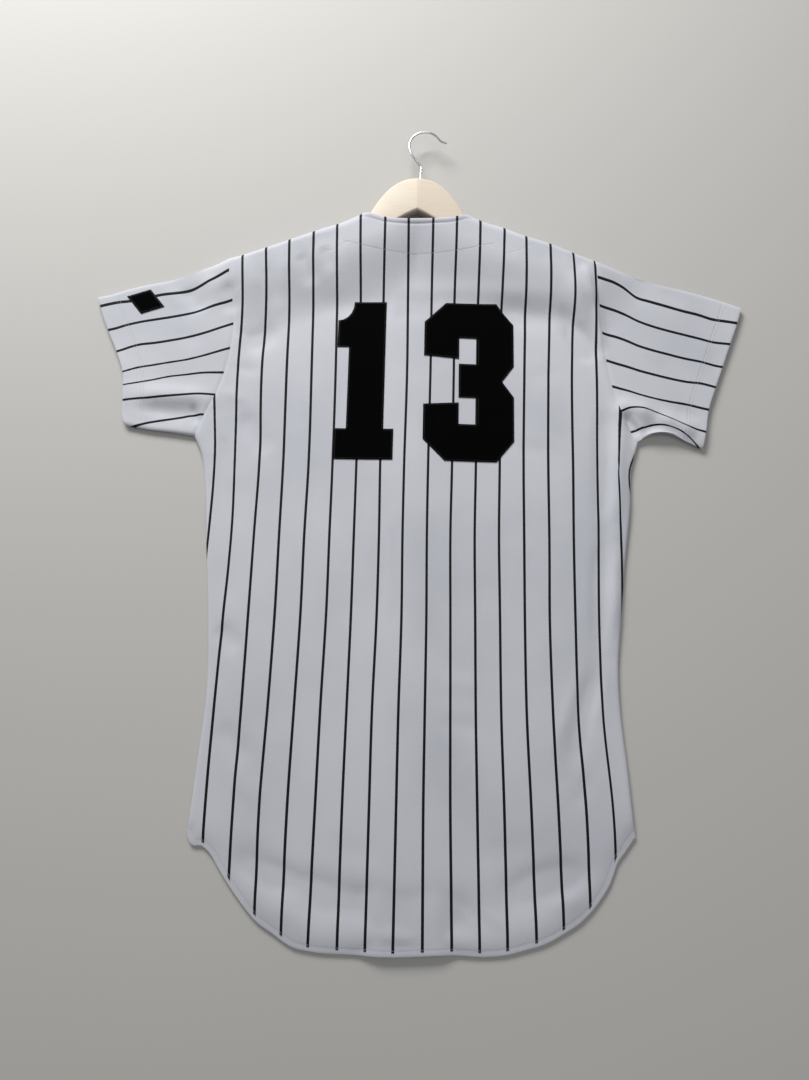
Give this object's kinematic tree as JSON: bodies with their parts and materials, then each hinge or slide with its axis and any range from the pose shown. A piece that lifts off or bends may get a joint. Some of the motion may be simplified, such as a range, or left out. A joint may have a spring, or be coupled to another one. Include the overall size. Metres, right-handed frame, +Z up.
{
  "type": "baseball jersey laid flat on a wooden hanger",
  "caption": "Short-sleeved button-front baseball jersey laid flat with its back up, still on a flat wooden hanger with a wire hook.",
  "frame": {"origin": "on the floor under the middle of the whole part's box, hanger hook included", "axes": "+X to the viewer's right with the back up, +Y from the hem to the hanger's hook, +Z up from the floor"},
  "size_m": [0.7894, 0.9714, 0.0267],
  "materials": {
    "knit": "smooth double knit with woven-in look pinstripes",
    "felt": "dense black twill felt, zigzag-sewn edges",
    "wood": "pale birch, satin lacquer",
    "hook": "plated wire",
    "button": "moulded resin"
  },
  "bodies": {
    "root": {"back": "knit", "front_left": "knit", "front_right": "knit", "sleeve_left": "knit", "sleeve_right": "knit", "number_one": "felt", "number_three": "felt", "sleeve_patch": "felt", "hanger_wood": "wood", "hanger_hook": "hook", "button_1": "button", "button_2": "button", "button_3": "button", "button_4": "button", "button_5": "button", "button_6": "button"}
  },
  "joints": []
}
